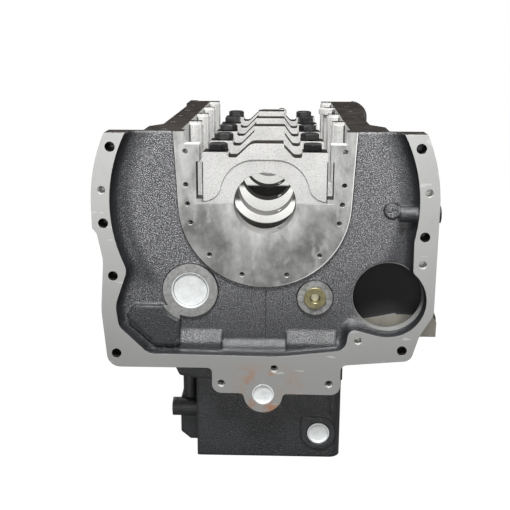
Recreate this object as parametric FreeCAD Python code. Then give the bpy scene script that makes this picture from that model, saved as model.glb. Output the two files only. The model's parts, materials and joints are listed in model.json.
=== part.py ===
import FreeCAD, Part
import math
import os

os.makedirs("parts", exist_ok=True)

# The block stands on its head deck, as it is stored: +Z points at the sump, +Y at the timing end.
# The origin is on the crank line, at the rear face of the rear main bearing. All sizes are millimetres.

# Crank line and cylinders
cylinder_count = 4
cylinder_pitch = 118.0
cylinder_bore_d = 101.0
cylinder_foot_z = -100.0
main_bore_d = 83.0
main_width = 34.0
bulkhead_width = 18.0
deck_z = -380.0
sump_z = 95.0

# Rear housing for the flywheel
flange_y = -20.0
plate_back_y = 15.0
pocket_floor_y = 5.0
flange_r = 228.0
flange_band_left = 24.4
flange_band_right = 26.0
pocket_fillet = 15.0
pocket_arc_low_z = -79.6
flange_low_z = -226.6
pocket_low_z = -209.0
flange_hole_inset = 13.7
flange_hole_r = 6.6
flange_hole_depth = 30.0
flange_thread_r = 5.2
flange_thread_depth = 20.0
tongue_front_y = -6.0
tongue_low_z = -264.5
tongue_left_x = -71.0
tongue_right_x = 105.7
lobe_r = 27.0

# Rear seal face and the slot for the rear cap
seal_face_r = 115.5
seal_face_top_x = 120.6
seal_hole_ring_r = 102.9
seal_hole_r = 3.6
seal_hole_depth = 16.0
notch_edge = 13.6
notch_step_z = 78.0
slot_neck_gap = 3.5
slot_neck_z = 56.0
slot_relief_gap = 8.2
slot_relief_z = 6.0
bay_slot_gap = 12.2

# Crankcase
cap_side_room = 29.2
skirt_wall = 10.0
rail_width = 23.0
rail_height = 14.0
rail_hole_edge = 10.0
rail_hole_r = 4.3
rail_hole_count = 6
rail_hole_first_y = 26.0
rail_hole_depth = 22.0
cavity_top_z = -112.0
case_low_z = -256.0
cam_case_room = 40.7
front_wall = 34.0
timing_recess = 14.0
timing_rim = 14.0
column_r = 14.0
column_wall = 1.0
column_drop = 4.0
column_low_z = -30.0
disc_r = 18.0
disc_gap = 2.4
disc_h = 9.0
disc_drop = 1.5
disc_hole_r = 5.0
front_ear_x = 181.0
front_ear_round = 28.0
front_ear_low_z = 44.0

# Cylinder section
side_left_x = -97.0
side_right_x = 111.0
cylinder_wall_y = 20.0
rear_relief_x = 95.0
rear_relief_top_z = -228.0
rear_relief_low_z = -311.0
rear_relief_depth = 1.5
plug_pad_r = 25.5
plug_pad_h = 1.5
chest_y = 62.0
chest_top_z = -240.0
chest_step_z = -304.0
chest_low_z = -375.0
chest_upper_x = -117.0
chest_lower_x = -125.0
chest_column_r = 9.5
chest_column_x = -110.5
hose_end_x = -136.0
hose_y = 60.0
hose_z = -321.5
hose_r = 13.5
hose_bore_r = 9.0
hose_bore_depth = 34.0
head_bolt_x = 60.0
head_bolt_r = 6.0
head_bolt_depth = 55.0
head_bolt_margin = 18.0
front_shoulder = 15.0

# Camshaft and oil gallery
cam_x = -101.3
cam_z = -122.0
cam_bore_r = 26.1
cam_boss_r = 37.6
cam_bush_wall = 2.6
pushrod_x = -84.0
pushrod_r = 8.0
pushrod_reach = 24.0
pushrod_top_z = -150.0
gallery_x = 69.4
gallery_z = -130.4
gallery_r = 8.0
gallery_boss_r = 24.1
gallery_thread_r = 13.5
oilway_r = 3.0

# Starter opening and the accessory boss in front of it
starter_inset = 59.4
starter_z = -128.4
starter_r = 47.5
starter_margin = 3.0
boss_face_y = 56.0
boss_front_y = 150.0
boss_out_x = 247.0
boss_low_z = -205.0
boss_pad_h = 6.0

# Main bearing caps and their bolts
cap_edge = 12.1
cap_shoulder_z = 68.4
cap_dip_z = 61.4
cap_crown_z = 80.0
cap_pad_z = 89.5
cap_pad_left_x = -18.0
cap_pad_right_x = 26.0
cap_skin = 1.5
cap_gap = 0.05
cap_lump_x = 22.0
cap_lump_r = 9.0
cap_lump_top_z = 83.5
bolt_wall = 13.2
bolt_r = 8.0
bolt_gap = 0.1
bolt_hole_gap = 0.6
bolt_head_af = 24.0
bolt_head_h = 10.0
bolt_depth = 45.0

# Cup plugs and screwed plugs
plug_gap = 0.02
cam_plug_gap = 0.6
cup_wall = 2.0
cup_depth = 7.0
plug_seat_depth = 16.0
tongue_plug_x = -0.4
tongue_plug_z = -265.0
tongue_plug_r = 15.3
rear_plug_x = 79.3
rear_plug_z = -342.0
rear_plug_r = 16.0
side_plug_z = -300.0
side_plug_r = 19.0
gallery_head_r = 15.2
gallery_head_h = 3.0
gallery_thread_length = 14.0
socket_af = 13.0
socket_depth = 8.0
port_y = -4.0
port_z = -11.3
port_r = 6.0
port_boss_r = 10.5
port_head_r = 11.5
port_head_h = 3.5
drain_z = -352.0
drain_r = 7.0
drain_af = 22.0
drain_collar = 2.0
drain_thread = 12.0
drain_head_h = 9.0
core_mark_x = 169.7
core_mark_z = -8.7
core_mark_r = 10.9
core_mark_h = 2.0
core_dimple_r = 1.6

# Values that follow from the ones above
main_bore_r = main_bore_d / 2
cylinder_bore_r = cylinder_bore_d / 2
first_main_y = main_width / 2
last_main_y = first_main_y + cylinder_count * cylinder_pitch
front_y = last_main_y + front_wall / 2 + timing_recess
recess_y = front_y - timing_recess
cylinder_end_y = front_y - front_shoulder
main_ys = [first_main_y + i * cylinder_pitch for i in range(cylinder_count + 1)]
cylinder_ys = [first_main_y + (i + 0.5) * cylinder_pitch for i in range(cylinder_count)]
drain_y = cylinder_ys[1]
pocket_left_r = flange_r - flange_band_left
pocket_right_r = flange_r - flange_band_right
starter_x = flange_r - starter_inset
notch_x = seal_face_top_x - notch_edge
bolt_x = main_bore_r + bolt_wall + bolt_r
cap_half_x = bolt_x + bolt_r + cap_edge
skirt_x = cap_half_x + cap_side_room + skirt_wall
rail_x = skirt_x + rail_width
rail_hole_x = rail_x - rail_hole_edge
cam_case_x = cam_x - cam_case_room
column_x = skirt_x - column_wall - column_r
disc_x = cap_half_x + disc_gap + disc_r
overrun = 1.0


def unit(vector):
    """The vector at length one."""
    return vector * (1.0 / vector.Length)


def bend(here, back, ahead, radius):
    """Start, middle and end of the arc that turns a corner between two neighbours."""
    to_back = unit(back - here)
    to_ahead = unit(ahead - here)
    half = to_back.getAngle(to_ahead) / 2
    reach = radius / math.tan(half)
    middle = here + unit(to_back + to_ahead) * (radius / math.sin(half) - radius)
    return here + to_back * reach, middle, here + to_ahead * reach


def outline(corners, place):
    """Closed face through (u, v, radius) corners; place maps u and v to a point in space."""
    points = [FreeCAD.Vector(u, v, 0) for u, v, radius in corners]
    count = len(points)
    bends = []
    for i, here in enumerate(points):
        radius = corners[i][2]
        if radius:
            bends.append(bend(here, points[i - 1], points[(i + 1) % count], radius))
        else:
            bends.append((here, None, here))
    edges = []
    for i, (start, middle, end) in enumerate(bends):
        last = bends[i - 1][2]
        if last.distanceToPoint(start) > 1e-6:
            edges.append(Part.makeLine(place(last.x, last.y), place(start.x, start.y)))
        if middle:
            through = [place(p.x, p.y) for p in (start, middle, end)]
            edges.append(Part.Arc(*through).toShape())
    return Part.Face(Part.Wire(edges))


def plate_x(corners, x0, x1):
    """Plate between x0 and x1 with an outline in (y, z)."""
    return outline(corners, lambda u, v: FreeCAD.Vector(x0, u, v)).extrude(FreeCAD.Vector(x1 - x0, 0, 0))


def plate_y(corners, y0, y1):
    """Plate between y0 and y1 with an outline in (x, z)."""
    return outline(corners, lambda u, v: FreeCAD.Vector(u, y0, v)).extrude(FreeCAD.Vector(0, y1 - y0, 0))


def plate_z(corners, z0, z1):
    """Plate between z0 and z1 with an outline in (x, y)."""
    return outline(corners, lambda u, v: FreeCAD.Vector(u, v, z0)).extrude(FreeCAD.Vector(0, 0, z1 - z0))


def rod_x(radius, x0, x1, y, z):
    """Round bar along X."""
    return Part.makeCylinder(radius, x1 - x0, FreeCAD.Vector(x0, y, z), FreeCAD.Vector(1, 0, 0))


def rod_y(radius, y0, y1, x, z):
    """Round bar along Y."""
    return Part.makeCylinder(radius, y1 - y0, FreeCAD.Vector(x, y0, z), FreeCAD.Vector(0, 1, 0))


def rod_z(radius, z0, z1, x, y):
    """Round bar along Z."""
    return Part.makeCylinder(radius, z1 - z0, FreeCAD.Vector(x, y, z0), FreeCAD.Vector(0, 0, 1))


def box(x0, x1, y0, y1, z0, z1):
    """Plain box between two corners."""
    return Part.makeBox(x1 - x0, y1 - y0, z1 - z0, FreeCAD.Vector(x0, y0, z0))


def arc_corner(radius, start, end, x=0.0, z=0.0):
    """The corner whose rounding is the arc from start to end degrees about a centre."""
    half = math.radians(end - start) / 2
    middle = math.radians(start + end) / 2
    reach = radius / math.cos(half)
    return x + reach * math.cos(middle), z + reach * math.sin(middle), radius


def on_tangent(radius, angle, distance, rounding, x=0.0, z=0.0):
    """A corner on the tangent line at an angle of a circle, a distance further round."""
    a = math.radians(angle)
    u = x + radius * math.cos(a) - distance * math.sin(a)
    v = z + radius * math.sin(a) + distance * math.cos(a)
    return u, v, rounding


def polar(radius, angle):
    """Point at an angle in degrees on a circle about the crank line."""
    return radius * math.cos(math.radians(angle)), radius * math.sin(math.radians(angle))


def flange_plate():
    """The flywheel housing flange with its lower tongue."""
    top_x = math.sqrt(flange_r**2 - sump_z**2)
    top_angle = math.degrees(math.asin(sump_z / flange_r))
    corners = [
        (top_x, sump_z, 0),
        (-top_x, sump_z, 0),
        arc_corner(flange_r, 180 - top_angle, 180),
        (-flange_r, -31, 4),
        (-flange_r + 6, -38, 10),
        (-flange_r + 13, -75, 50),
        (-flange_r + 7.5, -145, 120),
        (-flange_r + 14, flange_low_z, 18),
        (tongue_left_x, flange_low_z, 7),
        (tongue_left_x, flange_low_z - 10, 0),
        (tongue_right_x, flange_low_z - 10, 0),
        (tongue_right_x, flange_low_z + 6, 9),
        (flange_r - 28, flange_low_z + 14, 13),
        (flange_r - 18, flange_low_z + 49, 30),
        (flange_r, flange_low_z + 80, 18),
        arc_corner(flange_r, 0, top_angle),
    ]
    tongue = [
        (tongue_left_x, flange_low_z + 8, 0),
        (tongue_left_x, tongue_low_z + 1, 13),
        (tongue_right_x, tongue_low_z, 13),
        (tongue_right_x, flange_low_z + 8, 0),
    ]
    plate = plate_y(corners, flange_y, plate_back_y)
    below = box(-flange_r, flange_r, tongue_front_y, plate_back_y + overrun, tongue_low_z, flange_low_z - 2)
    plate = plate.cut(below)
    lobe = rod_y(lobe_r, flange_y, tongue_front_y, tongue_plug_x, tongue_plug_z)
    skirt = plate_y(tongue, flange_y, tongue_front_y).fuse(lobe)
    roots = [e for e in skirt.Edges if is_lobe_root(e)]
    return plate.fuse(skirt.makeFillet(6.0, roots)).removeSplitter()


def is_lobe_root(edge):
    """True on the two edges along Y where the round lobe leaves the tongue."""
    box_ = edge.BoundBox
    straight = box_.XLength < 0.01 and box_.ZLength < 0.01
    return straight and abs(box_.Center.x - tongue_plug_x) < lobe_r + 1 and box_.Center.z < tongue_low_z + 2


def pocket_cutter():
    """The dished pocket inside the flange, with its rounded foot."""
    round_r = starter_r + starter_margin
    round_x = starter_x - 1.6
    left_end = 180 + math.degrees(math.asin(-pocket_arc_low_z / pocket_left_r))
    corners = [
        on_tangent(pocket_right_r, 33, 12, 0),
        on_tangent(pocket_left_r, 147, -12, 0),
        arc_corner(pocket_left_r, 147, left_end),
        on_tangent(pocket_left_r, left_end, 10, 20),
        (-pocket_left_r + 2.6, -138, 40),
        (-pocket_left_r + 6.1, -168, 17),
        (-pocket_left_r + 45.6, pocket_low_z + 2, 20),
        (20, pocket_low_z, 200),
        (starter_x - 57.6, pocket_low_z + 10, 17),
        on_tangent(round_r, -105, -40, 10, round_x, starter_z),
        arc_corner(round_r, -105, -30, round_x, starter_z),
        arc_corner(round_r, -30, 45, round_x, starter_z),
        on_tangent(round_r, 45, 7, 8, round_x, starter_z),
        on_tangent(pocket_right_r, -10, -11, 40),
        arc_corner(pocket_right_r, -10, 33),
    ]
    cutter = plate_y(corners, flange_y - overrun, pocket_floor_y)
    foot = [e for e in cutter.Edges if e.BoundBox.YMin > pocket_floor_y - 0.01]
    return cutter.makeFillet(pocket_fillet, foot)


def pocket_islands():
    """What stands up from the pocket floor: the seal face, the bosses, the pads and the ledges."""
    root_y = pocket_floor_y + overrun
    corner_r = math.hypot(seal_face_top_x, sump_z)
    side_angle = math.degrees(math.acos(seal_face_r / corner_r) - math.atan2(sump_z, seal_face_top_x))
    seal_face = [
        (seal_face_top_x, sump_z, 0),
        (-seal_face_top_x, sump_z, 0),
        arc_corner(seal_face_r, 180 + side_angle, 270),
        arc_corner(seal_face_r, 270, 360 - side_angle),
    ]
    pad_right_x = cam_x - 14.7
    pad_foot = [
        (-pocket_left_r + 12.6, pocket_low_z + 51, 8),
        (-pocket_left_r + 24.6, pocket_low_z + 66, 8),
        (pad_right_x, pocket_low_z + 66, 3),
        (pad_right_x, pocket_low_z + 10, 6),
        (pad_right_x - 33, pocket_low_z + 10, 5),
    ]
    pad_face_y = pocket_floor_y - 11
    pad = plate_y(pad_foot, pad_face_y, root_y)
    pad = pad.cut(rod_y(cam_boss_r + 6, pad_face_y - overrun, 0, cam_x, cam_z))
    mark = rod_y(core_mark_r, pocket_floor_y - core_mark_h, root_y, core_mark_x, core_mark_z)
    dimple = rod_y(core_dimple_r, pocket_floor_y - core_mark_h - overrun, pocket_floor_y, core_mark_x, core_mark_z)
    port_end_x = flange_r - 20
    return [
        plate_y(seal_face, 0, root_y),
        rod_y(cam_boss_r, 0, root_y, cam_x, cam_z),
        rod_y(gallery_boss_r, 0, root_y, gallery_x, gallery_z),
        pad,
        ledge(pad_right_x, -58, 31, -6, 14),
        ledge(-58, 31, 17, -2, 7),
        ledge(31, 100, 32, -6, 14),
        rod_x(port_boss_r, flange_r - 50, port_end_x, port_y, port_z),
        mark.cut(dimple),
    ]


def ledge(x0, x1, rise, top_y, shelf):
    """A rounded ledge along the foot of the pocket: it starts a rise above the foot and ends in a shelf."""
    root_y = pocket_floor_y + overrun
    foot_z = pocket_low_z - 3
    corners = [
        (root_y, pocket_low_z + rise, 0),
        (top_y, pocket_low_z + shelf, 6),
        (top_y, foot_z, 0),
        (root_y, foot_z, 0),
    ]
    return plate_x(corners, x0, x1)


def crankcase_body():
    """The skirts, sump rails and outer walls round the crankshaft and the camshaft."""
    walls = [
        (skirt_x, sump_z, 0),
        (-skirt_x, sump_z, 0),
        (-skirt_x, -40, 40),
        (cam_case_x, -88, 25),
        (cam_case_x, -200, 20),
        (side_left_x - 23, case_low_z + 4, 6),
        (side_left_x, case_low_z, 0),
        (side_right_x, case_low_z, 0),
        (side_right_x, -185, 25),
        (96, -150, 30),
        (100, -105, 30),
        (skirt_x, -40, 50),
    ]
    root_y = plate_back_y - overrun
    rails = [
        (-rail_x - 16, root_y, 0),
        (rail_x + 18, root_y, 0),
        (rail_x + 18, 65, 6),
        (rail_x, 95, 6),
        (rail_x, 200, 60),
        (rail_x + 16, 350, 80),
        (rail_x + 16, front_y - 34, 8),
        (rail_x + 7, front_y - 24, 4),
        (rail_x + 7, front_y, 0),
        (-rail_x - 6, front_y, 0),
        (-rail_x - 6, front_y - 80, 15),
        (-rail_x, front_y - 115, 15),
        (-rail_x, 92, 6),
        (-rail_x - 16, 62, 6),
    ]
    return [plate_y(walls, root_y, front_y), plate_z(rails, sump_z - rail_height, sump_z)]


def cylinder_body():
    """The closed box of the cylinders with its deck, side ribs and rear details."""
    section = [
        (side_left_x, cylinder_wall_y, 4),
        (side_right_x, cylinder_wall_y, 16),
        (side_right_x, cylinder_end_y, 8),
        (side_left_x, cylinder_end_y, 8),
    ]
    parts = [plate_z(section, deck_z, -200)]
    for y in main_ys[1:-1]:
        parts.append(rod_z(12, deck_z, -230, side_right_x - 4, y))
    inner_x = side_left_x + overrun
    chest = [
        (inner_x, chest_top_z, 0),
        (chest_upper_x, chest_top_z, 5),
        (chest_upper_x, chest_step_z + 6, 4),
        (chest_lower_x, chest_step_z - 6, 5),
        (chest_lower_x, chest_low_z + 12, 3),
        (chest_lower_x + 14, chest_low_z, 3),
        (inner_x, chest_low_z, 0),
    ]
    parts.append(plate_y(chest, chest_y, cylinder_end_y - 30))
    parts.append(rod_z(chest_column_r, chest_step_z, chest_top_z, chest_column_x, chest_y - 2))
    parts.append(rod_x(hose_r, hose_end_x, inner_x, hose_y, hose_z))
    plug_pad = [
        (rear_plug_x - plug_pad_r, rear_plug_z + plug_pad_r, 2),
        (rear_plug_x - plug_pad_r, rear_plug_z - plug_pad_r, plug_pad_r - 1),
        (rear_plug_x + plug_pad_r, rear_plug_z - plug_pad_r, plug_pad_r - 1),
        (rear_plug_x + plug_pad_r, rear_plug_z + plug_pad_r, plug_pad_r - 1),
    ]
    parts.append(plate_y(plug_pad, cylinder_wall_y - plug_pad_h, cylinder_wall_y + overrun))
    parts.append(rod_y(lobe_r - 3, tongue_front_y - overrun, cylinder_wall_y + overrun, tongue_plug_x, tongue_plug_z))
    return parts


def front_plate():
    """The timing case rim at the front end."""
    rim = [
        (rail_x + 22, -10, 30),
        (rail_x + 10, front_ear_low_z - 14, 6),
        (front_ear_x, front_ear_low_z, 12),
        (front_ear_x, sump_z, front_ear_round),
        (-rail_x - 6, sump_z, 0),
        (-rail_x - 6, -20, 30),
        (cam_case_x - 14, -90, 25),
        (cam_case_x - 14, -190, 25),
        (side_left_x - 8, case_low_z - 4, 30),
        (side_left_x - 8, deck_z, 4),
        (side_right_x + 6, deck_z, 4),
        (side_right_x + 6, case_low_z + 6, 30),
        (side_right_x + 34, -190, 25),
        (side_right_x + 34, -70, 30),
    ]
    return plate_y(rim, front_y - 20, front_y)


def timing_cutter():
    """The shallow gear space inside the timing case rim."""
    inner = [
        (rail_x + 22 - timing_rim, sump_z + overrun, 0),
        (-rail_x - 6 + timing_rim, sump_z + overrun, 0),
        (-rail_x - 6 + timing_rim, -20, 20),
        (cam_case_x - 14 + timing_rim, -90, 20),
        (cam_case_x - 14 + timing_rim, -190, 14),
        (side_left_x - 8 + timing_rim, case_low_z + 4, 20),
        (side_right_x + 6 - timing_rim, case_low_z + 4, 20),
        (side_right_x + 34 - timing_rim, -190, 14),
        (side_right_x + 34 - timing_rim, -70, 20),
        (rail_x + 22 - timing_rim, -10, 20),
    ]
    return plate_y(inner, recess_y, front_y + overrun)


def accessory_boss():
    """The boss on the right side with its machined rear pad, seen through the starter opening."""
    boss = [
        (90, -70, 0),
        (200, -70, 20),
        (224, -115, 20),
        (boss_out_x, -178, 6),
        (boss_out_x, boss_low_z, 5),
        (90, boss_low_z, 0),
    ]
    pad = [
        (130, boss_low_z, 0),
        (130, -181, 3),
        (190, -171, 40),
        (boss_out_x - 6, -173, 4),
        (boss_out_x, -182, 3),
        (boss_out_x, boss_low_z, 0),
    ]
    pad_root_y = boss_face_y + boss_pad_h
    return [plate_y(boss, pad_root_y, boss_front_y), plate_y(pad, boss_face_y, pad_root_y + overrun)]


def gussets():
    """Webs that tie the rear housing to the skirts."""
    webs = []
    for side, z in ((-1, 40), (-1, -20), (1, 40), (1, -20)):
        foot = side * (skirt_x - 4)
        tip = side * (flange_r - 35)
        web = [(foot, plate_back_y - overrun, 0), (tip, plate_back_y - overrun, 0), (foot, 90, 0)]
        webs.append(plate_z(web, z - 5, z + 5))
    return webs


def mount_pads():
    """The engine mount pads on both sides of the crankcase."""
    middle_y = main_ys[2] + 10
    pad = [
        (middle_y - 52, -50, 10),
        (middle_y - 52, 30, 10),
        (middle_y + 52, 30, 10),
        (middle_y + 52, -50, 10),
    ]
    reach = skirt_x + 12
    return [plate_x(pad, -reach, -skirt_x + 8), plate_x(pad, skirt_x - 8, reach)]


def bay_cutters():
    """One open bay for each cylinder, with the camshaft chamber beside it."""
    inner_x = skirt_x - skirt_wall
    case_x = cam_case_x + skirt_wall
    bay = [
        (inner_x, sump_z + overrun, 0),
        (-inner_x, sump_z + overrun, 0),
        (-inner_x, -38, 25),
        (case_x, -84, 20),
        (case_x, -156, 14),
        (-66, -156, 8),
        (-66, cavity_top_z, 6),
        (50, cavity_top_z, 12),
        (100, -68, 25),
        (inner_x, -25, 30),
    ]
    bays = []
    for i in range(cylinder_count):
        bays.append(plate_y(bay, main_ys[i] + bulkhead_width / 2, main_ys[i + 1] - bulkhead_width / 2))
    return bays


def saddles():
    """The main bearing saddles, wider than their bulkheads."""
    saddle = [
        (cap_half_x, 0, 0),
        (-cap_half_x, 0, 0),
        (-cap_half_x, -40, 25),
        (-45, -80, 35),
        (45, -80, 35),
        (cap_half_x, -40, 25),
    ]
    return [plate_y(saddle, y - main_width / 2, y + main_width / 2) for y in main_ys]


def cap_slots():
    """The register slots that the caps sit in, with the stepped notch at the rear."""
    fit_x = cap_half_x + cap_gap
    relief_x = cap_half_x + slot_relief_gap
    neck_x = cap_half_x + slot_neck_gap
    bay_x = cap_half_x + bay_slot_gap
    rear_end = first_main_y + bulkhead_width / 2 + overrun
    rear = -overrun
    top = sump_z + overrun
    inner_end = front_y + overrun
    return [
        box(-fit_x, fit_x, rear, inner_end, 0, slot_relief_z + overrun),
        box(-relief_x, relief_x, rear, rear_end, slot_relief_z, slot_neck_z),
        box(-neck_x, neck_x, rear, rear_end, slot_neck_z - overrun, notch_step_z + overrun),
        box(-notch_x, notch_x, rear, rear_end, notch_step_z, top),
        box(-bay_x, bay_x, rear_end - overrun, inner_end, slot_relief_z, top),
    ]


def bay_columns():
    """Round columns that stiffen the skirts beside the caps, one with a wide disc at its top."""
    columns = []
    for y in main_ys[1:]:
        for side in (-1, 1):
            columns.append(rod_z(column_r, column_low_z, sump_z - column_drop, side * column_x, y))
    disc_top = sump_z - disc_drop
    columns.append(rod_z(disc_r, disc_top - disc_h, disc_top, disc_x, main_ys[3]))
    return columns


def bores():
    """The machined bores through the casting."""
    pad_y = cylinder_wall_y - plug_pad_h
    wall_y = cylinder_wall_y
    relief_ys = (wall_y - overrun, wall_y + rear_relief_depth)
    rear_relief = (rear_relief_x, side_right_x + overrun, *relief_ys, rear_relief_low_z, rear_relief_top_z)
    cuts = [
        rod_y(main_bore_r, flange_y, front_y + overrun, 0, 0),
        rod_y(cam_bore_r, flange_y, front_y + overrun, cam_x, cam_z),
        rod_y(gallery_r, -overrun, front_y, gallery_x, gallery_z),
        rod_y(gallery_thread_r, -overrun, gallery_thread_length + 2, gallery_x, gallery_z),
        rod_y(gallery_thread_r, recess_y - gallery_thread_length - 2, front_y, gallery_x, gallery_z),
        rod_y(starter_r, flange_y - overrun, plate_back_y + overrun, starter_x, starter_z),
        rod_y(tongue_plug_r, flange_y - overrun, flange_y + plug_seat_depth, tongue_plug_x, tongue_plug_z),
        rod_y(rear_plug_r, pad_y - overrun, pad_y + plug_seat_depth, rear_plug_x, rear_plug_z),
        rod_x(port_r, flange_r - 40, flange_r + overrun, port_y, port_z),
        rod_x(hose_bore_r, hose_end_x - overrun, hose_end_x + hose_bore_depth, hose_y, hose_z),
        rod_x(drain_r, side_right_x - plug_seat_depth, side_right_x + overrun, drain_y, drain_z),
        box(*rear_relief),
    ]
    for y in cylinder_ys:
        cuts.append(rod_z(cylinder_bore_r, deck_z - overrun, cylinder_foot_z, 0, y))
        cuts.append(rod_x(side_plug_r, side_right_x - plug_seat_depth, side_right_x + overrun, y, side_plug_z))
        for reach in (-pushrod_reach, pushrod_reach):
            cuts.append(rod_z(pushrod_r, deck_z - overrun, pushrod_top_z, pushrod_x, y + reach))
    for y in main_ys:
        way = FreeCAD.Vector(gallery_x, 0, gallery_z)
        cuts.append(Part.makeCylinder(oilway_r, way.Length, FreeCAD.Vector(0, y, 0), way))
    return cuts


def head_bolt_places():
    """Where the cylinder head bolts stand, in pairs between the cylinders and at both ends."""
    end_room = head_bolt_r + head_bolt_margin
    rows = [cylinder_wall_y + end_room] + main_ys[1:-1] + [cylinder_end_y - end_room]
    return [(side * head_bolt_x, y) for y in rows for side in (-1, 1)]


def flange_holes():
    """The bolt holes of the rear flange: large plain ones, small threaded ones and three in the tongue."""
    ring_r = flange_r - flange_hole_inset
    large = [polar(ring_r, 159), polar(ring_r, 186.5), (-flange_r + 25.3, -96.5), (-flange_r + 25.9, -206.7)]
    large += [polar(ring_r, 21), polar(ring_r, -10.5), (flange_r - 40.2, -197.8)]
    small = [polar(ring_r, 174.6), polar(ring_r, 5.2), (flange_r - 18, -76.8), (starter_x - 40.6, -184.4)]
    tongue = [(tongue_left_x + 12.7, tongue_low_z + 15.4), (14.6, flange_low_z)]
    tongue.append((tongue_right_x - 15.6, tongue_low_z + 16.3))
    start_y = flange_y - overrun
    holes = [rod_y(flange_hole_r, start_y, flange_y + flange_hole_depth, x, z) for x, z in large]
    holes += [rod_y(flange_thread_r, start_y, flange_y + flange_thread_depth, x, z) for x, z in small]
    return holes + [rod_y(flange_thread_r, start_y, tongue_front_y + overrun, x, z) for x, z in tongue]


def threaded_holes():
    """The threaded holes in the seal face, rails, saddles and deck, and those of the flange."""
    holes = flange_holes()
    ring = [polar(seal_hole_ring_r, a) for a in (-0.6, -15, -43.7, -72.8)]
    side_x = notch_x - 2
    for x, z in ring + [(side_x, 24.6), (side_x, 69)]:
        for side in (-1, 1):
            holes.append(rod_y(seal_hole_r, -overrun, seal_hole_depth, side * x, z))
    for i in range(rail_hole_count):
        y = rail_hole_first_y + i * (front_y - 2 * rail_hole_first_y) / (rail_hole_count - 1)
        for side in (-1, 1):
            holes.append(rod_z(rail_hole_r, sump_z - rail_hole_depth, sump_z + overrun, side * rail_hole_x, y))
    disc_top = sump_z - disc_drop
    holes.append(rod_z(disc_hole_r, disc_top - rail_hole_depth, disc_top + overrun, disc_x, main_ys[3]))
    for x, y in head_bolt_places():
        holes.append(rod_z(head_bolt_r, deck_z - overrun, deck_z + head_bolt_depth, x, y))
    for y in main_ys:
        for side in (-1, 1):
            holes.append(rod_z(bolt_r, -bolt_depth - 4, overrun, side * bolt_x, y))
    return holes


def cylinder_block():
    """The whole casting: one piece of iron, cast and then machined."""
    housing = flange_plate().cut(pocket_cutter())
    solids = crankcase_body() + cylinder_body() + [front_plate()]
    solids += accessory_boss() + gussets() + mount_pads()
    casting = housing.fuse(solids + pocket_islands())
    casting = casting.cut(bay_cutters() + [timing_cutter()])
    casting = casting.fuse(saddles())
    casting = casting.cut(cap_slots())
    casting = casting.fuse(bay_columns())
    casting = casting.cut(bores())
    casting = casting.cut(threaded_holes())
    return casting.removeSplitter()


def cap_outline(crown_z, pad):
    """Corners of a cap: shoulders under the bolt heads, a dip each side and the crown."""
    shoulder_x = bolt_x - bolt_head_af / 2 - 1.7
    left = [
        (-cap_half_x, cap_shoulder_z, 3),
        (-shoulder_x, cap_shoulder_z, 0),
        (-shoulder_x + 1, cap_dip_z, 3),
        (-shoulder_x + 11, cap_dip_z, 6),
    ]
    right = [(-x, z, r) for x, z, r in reversed(left)]
    if pad:
        crown = [(cap_pad_left_x, crown_z - 8, 0), (cap_pad_left_x, crown_z, 0)]
        crown += [(cap_pad_right_x, crown_z, 0), (cap_pad_right_x, crown_z - 12, 0)]
    else:
        crown = [(cap_pad_left_x, crown_z, 14), (cap_pad_right_x - 2, crown_z, 0), (cap_pad_right_x - 1, crown_z - 5, 0)]
    return [(-cap_half_x, 0, 0)] + left + crown + right + [(cap_half_x, 0, 0)]


def machined_bell():
    """The machined zone round the bore on the outer face of an end cap."""
    edge_x = cap_half_x + overrun
    foot_x = main_bore_r + 20.5
    top_x = main_bore_r + 8.5
    top_z = main_bore_r + 17
    return [
        (-edge_x, 3, 0),
        (-foot_x, 5, 24),
        (-top_x, top_z, top_x - 5),
        (top_x, top_z, top_x - 5),
        (foot_x, 5, 24),
        (edge_x, 3, 0),
        (edge_x, -overrun, 0),
        (-edge_x, -overrun, 0),
    ]


def main_cap(index):
    """One main bearing cap; the end caps have a cast skin on their outer face."""
    y0 = main_ys[index] - main_width / 2
    y1 = main_ys[index] + main_width / 2
    at_end = index in (0, cylinder_count)
    corners = cap_outline(cap_crown_z if at_end else cap_pad_z, not at_end)
    cap = plate_y(corners, y0, y1)
    if index == 0:
        skin = plate_y(corners, y0 - cap_skin, y0)
        cap = cap.fuse(skin.cut(plate_y(machined_bell(), y0 - cap_skin - overrun, y0)))
    if index == cylinder_count:
        lump_ys = (y0 + main_width / 4, y1 - main_width / 4)
        cap = cap.fuse(rod_y(cap_lump_r, *lump_ys, cap_lump_x, cap_lump_top_z - cap_lump_r))
    cuts = [rod_y(main_bore_r, y0 - cap_skin - overrun, y1 + overrun, 0, 0)]
    for side in (-1, 1):
        cuts.append(rod_z(bolt_r + bolt_hole_gap, -overrun, cap_shoulder_z + overrun, side * bolt_x, main_ys[index]))
    return cap.cut(cuts).removeSplitter()


def cap_bolt(x, y):
    """A hexagon bolt screwed down on a cap."""
    head = hexagon(bolt_head_af, 0).extrude(FreeCAD.Vector(0, bolt_head_h, 0))
    head.rotate(FreeCAD.Vector(0, 0, 0), FreeCAD.Vector(1, 0, 0), 90)
    return placed(head, x, y, cap_shoulder_z).fuse(rod_z(bolt_r - bolt_gap, -bolt_depth, cap_shoulder_z, x, y))


def cam_bush(index):
    """The bush pressed into one bulkhead for the camshaft."""
    y0 = main_ys[index] - bulkhead_width / 2
    y1 = main_ys[index] + bulkhead_width / 2
    ring = rod_y(cam_bore_r - plug_gap, y0, y1, cam_x, cam_z)
    return ring.cut(rod_y(cam_bore_r - cam_bush_wall, y0 - 1, y1 + 1, cam_x, cam_z))


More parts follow.
